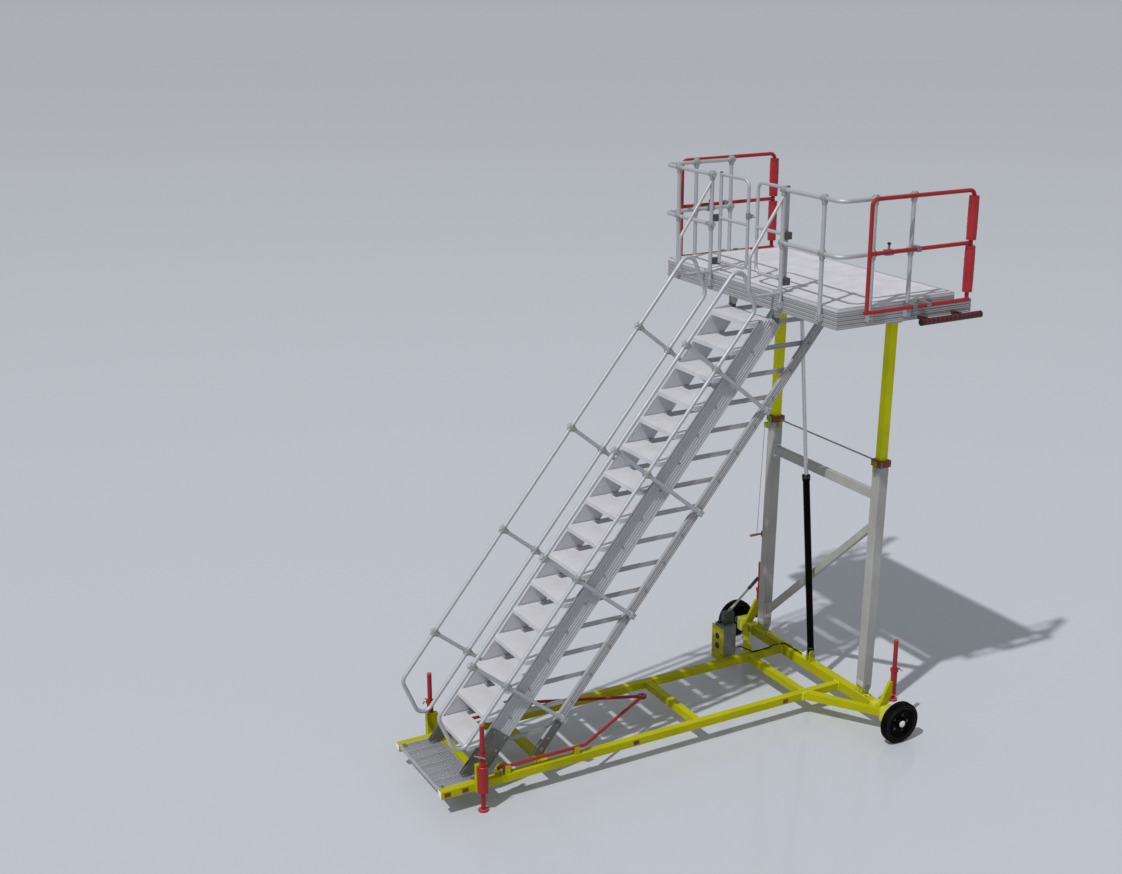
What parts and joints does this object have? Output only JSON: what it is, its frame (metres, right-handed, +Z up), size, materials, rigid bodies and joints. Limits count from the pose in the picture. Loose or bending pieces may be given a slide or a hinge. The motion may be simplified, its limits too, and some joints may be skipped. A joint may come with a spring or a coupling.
{
  "type": "variable-height access platform",
  "caption": "Towed access platform whose self-levelling stair and railed deck are raised by a hand-pumped cylinder on telescopic legs.",
  "frame": {"origin": "on the floor under the middle of the machine", "axes": "+X from the stair's foot to the deck and wheels, +Y to the left, +Z up"},
  "size_m": [5.4902, 3.3158, 5.8791],
  "materials": {
    "yellow_paint": "satin",
    "red_paint": "satin",
    "aluminium": "brushed",
    "tread_grey": "matte",
    "plate_steel": "matte",
    "galvanised": "matte",
    "leg_grey": "satin",
    "tyre": "matte",
    "black_paint": "satin",
    "chrome": "polished",
    "block_black": "matte",
    "bumper_red": "matte",
    "hose_black": "matte",
    "lock_orange": "satin",
    "pump_grey": "satin"
  },
  "bodies": {
    "chassis": {"long_rails": "yellow_paint", "cross_members": "yellow_paint", "axle_beam": "yellow_paint", "stub_axles": "plate_steel", "entry_grating": "galvanised", "pivot_forks": "yellow_paint", "jack_sleeves": "red_paint", "chassis_brackets": "yellow_paint", "tow_bar": "red_paint", "hand_pump": "pump_grey", "hydraulic_hose": "hose_black"},
    "wheel_left": {"tyre_left": "tyre", "wheel_disc_left": "black_paint"},
    "wheel_right": {"tyre_right": "tyre", "wheel_disc_right": "black_paint"},
    "jack_front_left": {"jack_front_left": "red_paint"},
    "jack_front_right": {"jack_front_right": "red_paint"},
    "jack_rear_left": {"jack_rear_left": "red_paint"},
    "jack_rear_right": {"jack_rear_right": "red_paint"},
    "stringers": {"stringers": "aluminium", "stringer_end_plates": "plate_steel"},
    "lower_beams": {"lower_beams": "aluminium", "beam_end_plates": "plate_steel", "handrail_posts": "aluminium", "handrail_loops": "aluminium"},
    "step_01": {"step_01": "tread_grey"},
    "step_02": {"step_02": "tread_grey"},
    "step_03": {"step_03": "tread_grey"},
    "step_04": {"step_04": "tread_grey"},
    "step_05": {"step_05": "tread_grey"},
    "step_06": {"step_06": "tread_grey"},
    "step_07": {"step_07": "tread_grey"},
    "step_08": {"step_08": "tread_grey"},
    "step_09": {"step_09": "tread_grey"},
    "step_10": {"step_10": "tread_grey"},
    "step_11": {"step_11": "tread_grey"},
    "step_12": {"step_12": "tread_grey"},
    "step_13": {"step_13": "tread_grey"},
    "step_14": {"step_14": "tread_grey"},
    "step_15": {"step_15": "tread_grey"},
    "step_16": {"step_16": "tread_grey"},
    "platform": {"deck_plate": "tread_grey", "deck_fascia": "aluminium", "deck_bearers": "aluminium", "guard_rails": "aluminium", "guard_posts": "aluminium", "hinge_and_guide_blocks": "block_black", "side_bumpers": "bumper_red"},
    "gate_left": {"gate_left": "aluminium"},
    "gate_right": {"gate_right": "aluminium"},
    "side_guard_left": {"side_guard_left": "red_paint"},
    "side_guard_right": {"side_guard_right": "red_paint"},
    "outer_legs": {"outer_legs": "leg_grey", "leg_ties": "leg_grey", "lock_collars": "lock_orange", "lock_linkage": "lock_orange"},
    "inner_legs": {"inner_legs": "yellow_paint"},
    "barrel": {"cylinder_barrel": "black_paint"},
    "rod": {"cylinder_rod": "chrome"}
  },
  "joints": [
    {"name": "lift", "type": "hinge", "parent": "chassis", "child": "stringers", "pos_m": [-2.26511, 0, 0.36], "axis": [0, -1, 0], "range_deg": [-24, 3]},
    {"name": "beam_swing", "type": "hinge", "parent": "chassis", "child": "lower_beams", "pos_m": [-1.56511, 0, 0.36], "axis": [0, -1, 0], "range_deg": [-24, 3]},
    {"name": "step_01_level", "type": "hinge", "parent": "stringers", "child": "step_01", "pos_m": [-2.11874, 0, 0.53871], "axis": [0, -1, 0], "range_deg": [-3, 24]},
    {"name": "step_02_level", "type": "hinge", "parent": "stringers", "child": "step_02", "pos_m": [-1.90488, 0, 0.7998], "axis": [0, -1, 0], "range_deg": [-3, 24]},
    {"name": "step_03_level", "type": "hinge", "parent": "stringers", "child": "step_03", "pos_m": [-1.69102, 0, 1.0609], "axis": [0, -1, 0], "range_deg": [-3, 24]},
    {"name": "step_04_level", "type": "hinge", "parent": "stringers", "child": "step_04", "pos_m": [-1.47717, 0, 1.322], "axis": [0, -1, 0], "range_deg": [-3, 24]},
    {"name": "step_05_level", "type": "hinge", "parent": "stringers", "child": "step_05", "pos_m": [-1.26331, 0, 1.58309], "axis": [0, -1, 0], "range_deg": [-3, 24]},
    {"name": "step_06_level", "type": "hinge", "parent": "stringers", "child": "step_06", "pos_m": [-1.04945, 0, 1.84419], "axis": [0, -1, 0], "range_deg": [-3, 24]},
    {"name": "step_07_level", "type": "hinge", "parent": "stringers", "child": "step_07", "pos_m": [-0.83559, 0, 2.10528], "axis": [0, -1, 0], "range_deg": [-3, 24]},
    {"name": "step_08_level", "type": "hinge", "parent": "stringers", "child": "step_08", "pos_m": [-0.62174, 0, 2.36638], "axis": [0, -1, 0], "range_deg": [-3, 24]},
    {"name": "step_09_level", "type": "hinge", "parent": "stringers", "child": "step_09", "pos_m": [-0.40788, 0, 2.62748], "axis": [0, -1, 0], "range_deg": [-3, 24]},
    {"name": "step_10_level", "type": "hinge", "parent": "stringers", "child": "step_10", "pos_m": [-0.19402, 0, 2.88857], "axis": [0, -1, 0], "range_deg": [-3, 24]},
    {"name": "step_11_level", "type": "hinge", "parent": "stringers", "child": "step_11", "pos_m": [0.01983, 0, 3.14967], "axis": [0, -1, 0], "range_deg": [-3, 24]},
    {"name": "step_12_level", "type": "hinge", "parent": "stringers", "child": "step_12", "pos_m": [0.23369, 0, 3.41077], "axis": [0, -1, 0], "range_deg": [-3, 24]},
    {"name": "step_13_level", "type": "hinge", "parent": "stringers", "child": "step_13", "pos_m": [0.44755, 0, 3.67186], "axis": [0, -1, 0], "range_deg": [-3, 24]},
    {"name": "step_14_level", "type": "hinge", "parent": "stringers", "child": "step_14", "pos_m": [0.66141, 0, 3.93296], "axis": [0, -1, 0], "range_deg": [-3, 24]},
    {"name": "step_15_level", "type": "hinge", "parent": "stringers", "child": "step_15", "pos_m": [0.87526, 0, 4.19406], "axis": [0, -1, 0], "range_deg": [-3, 24]},
    {"name": "step_16_level", "type": "hinge", "parent": "stringers", "child": "step_16", "pos_m": [1.08912, 0, 4.45515], "axis": [0, -1, 0], "range_deg": [-3, 24]},
    {"name": "deck_level", "type": "hinge", "parent": "stringers", "child": "platform", "pos_m": [1.16611, 0, 4.54915], "axis": [0, -1, 0], "range_deg": [-3, 24]},
    {"name": "leg_swing", "type": "hinge", "parent": "chassis", "child": "outer_legs", "pos_m": [2.14011, 0, 0.4], "axis": [0, -1, 0], "range_deg": [-31.29, 3.92]},
    {"name": "leg_extend", "type": "slide", "parent": "outer_legs", "child": "inner_legs", "axis": [0.0183, 0, 0.9998], "range_m": [-1.32898, 0.16621]},
    {"name": "ram_swing", "type": "hinge", "parent": "chassis", "child": "barrel", "pos_m": [2.12811, 0, 0.4], "axis": [0, -1, 0], "range_deg": [-29.48, 3.69]},
    {"name": "ram_extend", "type": "slide", "parent": "barrel", "child": "rod", "axis": [-0.0864, 0, 0.9963], "range_m": [-1.54417, 0.19311]},
    {"name": "wheel_left_spin", "type": "hinge", "parent": "chassis", "child": "wheel_left", "pos_m": [2.14511, 1.52, 0.2286], "axis": [0, 1, 0], "continuous": true},
    {"name": "wheel_right_spin", "type": "hinge", "parent": "chassis", "child": "wheel_right", "pos_m": [2.14511, -1.52, 0.2286], "axis": [0, 1, 0], "continuous": true},
    {"name": "jack_front_left_slide", "type": "slide", "parent": "chassis", "child": "jack_front_left", "axis": [0, 0, 1], "range_m": [0, 0.18]},
    {"name": "jack_front_right_slide", "type": "slide", "parent": "chassis", "child": "jack_front_right", "axis": [0, 0, 1], "range_m": [0, 0.18]},
    {"name": "jack_rear_left_slide", "type": "slide", "parent": "chassis", "child": "jack_rear_left", "axis": [0, 0, 1], "range_m": [-0.33, 0]},
    {"name": "jack_rear_right_slide", "type": "slide", "parent": "chassis", "child": "jack_rear_right", "axis": [0, 0, 1], "range_m": [-0.33, 0]},
    {"name": "gate_left_swing", "type": "hinge", "parent": "platform", "child": "gate_left", "pos_m": [1.10511, 0.575, 4.82015], "axis": [0, 0, 1], "range_deg": [0, 90]},
    {"name": "gate_right_swing", "type": "hinge", "parent": "platform", "child": "gate_right", "pos_m": [1.10511, -0.575, 4.82015], "axis": [0, 0, -1], "range_deg": [0, 90]},
    {"name": "side_guard_left_slide", "type": "slide", "parent": "platform", "child": "side_guard_left", "axis": [1, 0, 0], "range_m": [0, 0.45]},
    {"name": "side_guard_right_slide", "type": "slide", "parent": "platform", "child": "side_guard_right", "axis": [1, 0, 0], "range_m": [0, 0.45]}
  ],
  "couplings": [
    {"joint": "beam_swing", "follows": "lift", "ratio": 1},
    {"joint": "step_01_level", "follows": "lift", "ratio": -1},
    {"joint": "step_02_level", "follows": "lift", "ratio": -1},
    {"joint": "step_03_level", "follows": "lift", "ratio": -1},
    {"joint": "step_04_level", "follows": "lift", "ratio": -1},
    {"joint": "step_05_level", "follows": "lift", "ratio": -1},
    {"joint": "step_06_level", "follows": "lift", "ratio": -1},
    {"joint": "step_07_level", "follows": "lift", "ratio": -1},
    {"joint": "step_08_level", "follows": "lift", "ratio": -1},
    {"joint": "step_09_level", "follows": "lift", "ratio": -1},
    {"joint": "step_10_level", "follows": "lift", "ratio": -1},
    {"joint": "step_11_level", "follows": "lift", "ratio": -1},
    {"joint": "step_12_level", "follows": "lift", "ratio": -1},
    {"joint": "step_13_level", "follows": "lift", "ratio": -1},
    {"joint": "step_14_level", "follows": "lift", "ratio": -1},
    {"joint": "step_15_level", "follows": "lift", "ratio": -1},
    {"joint": "step_16_level", "follows": "lift", "ratio": -1},
    {"joint": "deck_level", "follows": "lift", "ratio": -1},
    {"joint": "leg_swing", "follows": "lift", "ratio": 1.3032},
    {"joint": "leg_extend", "follows": "lift", "m_per_rad": 3.1725},
    {"joint": "ram_swing", "follows": "lift", "ratio": 1.2277},
    {"joint": "ram_extend", "follows": "lift", "m_per_rad": 3.6862}
  ]
}
